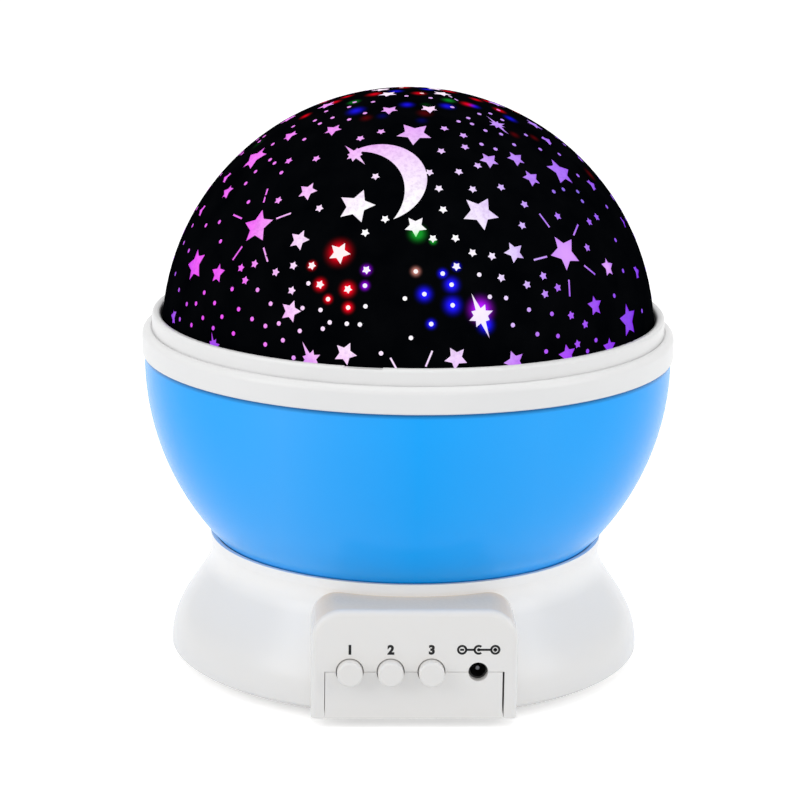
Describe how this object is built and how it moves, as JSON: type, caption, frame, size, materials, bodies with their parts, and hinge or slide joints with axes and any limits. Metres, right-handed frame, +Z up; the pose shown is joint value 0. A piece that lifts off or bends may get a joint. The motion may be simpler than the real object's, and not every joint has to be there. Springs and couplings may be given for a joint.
{
  "type": "star night light projector",
  "caption": "Dome night light on a round base: lit star mask over a blue bowl that a motor turns, with push buttons and a power inlet.",
  "frame": {"origin": "centre of the underside, on the surface it stands on", "axes": "+Z up along the turning axis, -Y towards the control panel"},
  "size_m": [0.1296, 0.1296, 0.1413],
  "materials": {
    "white_shell": "glossy moulded white ABS",
    "blue_shell": "glossy translucent blue plastic",
    "black_mask": "black coating with clear windows, satin",
    "milky_diffuser": "milky light-spreading plastic",
    "white_buttons": "satin white buttons",
    "black_plastic": "black moulded plastic",
    "natural_plastic": "natural acetal gears and washers",
    "circuit_board": "green solder resist on glass-fibre board",
    "steel": "zinc-plated steel",
    "nickel": "nickel-plated brass",
    "cell_jacket": "printed cell jacket",
    "rubber": "soft black rubber",
    "led_red": "red tinted epoxy lens",
    "led_green": "green tinted epoxy lens",
    "led_blue": "blue tinted epoxy lens",
    "led_warm": "clear epoxy lens over warm phosphor",
    "lead_jacket": "flexible lead insulation"
  },
  "bodies": {
    "base": {"base_housing": "white_shell", "bottom_cover": "white_shell", "rubber_feet": "rubber", "cover_screws": "steel", "batteries": "cell_jacket", "battery_contacts": "nickel", "control_board": "circuit_board", "board_components": "black_plastic", "push_switches": "black_plastic", "dc_jack": "black_plastic", "jack_pin": "nickel", "gearbox": "natural_plastic", "drive_motor": "steel", "motor_screws": "steel", "thrust_washer": "natural_plastic", "hub_washer": "natural_plastic", "retaining_clip": "steel", "lamp_post": "white_shell", "lamp_board": "circuit_board", "lamp_screws": "steel", "lamp_lead": "lead_jacket", "battery_lead": "lead_jacket", "led_red": "led_red", "led_green": "led_green", "led_blue": "led_blue", "led_warm_white": "led_warm"},
    "turning_bowl": {"blue_bowl": "blue_shell", "rim_ring": "white_shell", "rim_screws": "steel", "dome_diffuser": "milky_diffuser", "star_mask": "black_mask", "drive_ring": "natural_plastic", "ring_screws": "steel"},
    "pinion": {"drive_pinion": "natural_plastic", "drive_shaft": "steel"},
    "door": {"battery_door": "white_shell", "door_screw": "steel"},
    "button_1": {"button_cap_1": "white_buttons", "switch_plunger_1": "black_plastic"},
    "button_2": {"button_cap_2": "white_buttons", "switch_plunger_2": "black_plastic"},
    "button_3": {"button_cap_3": "white_buttons", "switch_plunger_3": "black_plastic"}
  },
  "joints": [
    {"name": "bowl_spin", "type": "hinge", "parent": "base", "child": "turning_bowl", "pos_m": [0, 0, 0.04], "axis": [0, 0, 1], "continuous": true},
    {"name": "pinion_spin", "type": "hinge", "parent": "base", "child": "pinion", "pos_m": [0, -0.018, 0.035], "axis": [0, 0, 1], "continuous": true},
    {"name": "door_swing", "type": "hinge", "parent": "base", "child": "door", "pos_m": [0, -0.014, 0.00155], "axis": [-1, 0, 0], "range_deg": [0, 75]},
    {"name": "button_1_press", "type": "slide", "parent": "base", "child": "button_1", "axis": [0, 1, 0], "range_m": [0, 0.0015], "stiffness_N_per_m": 800, "springref_m": -0.0005},
    {"name": "button_2_press", "type": "slide", "parent": "base", "child": "button_2", "axis": [0, 1, 0], "range_m": [0, 0.0015], "stiffness_N_per_m": 800, "springref_m": -0.0005},
    {"name": "button_3_press", "type": "slide", "parent": "base", "child": "button_3", "axis": [0, 1, 0], "range_m": [0, 0.0015], "stiffness_N_per_m": 800, "springref_m": -0.0005}
  ],
  "couplings": [
    {"joint": "pinion_spin", "follows": "bowl_spin", "ratio": 3.5714}
  ]
}
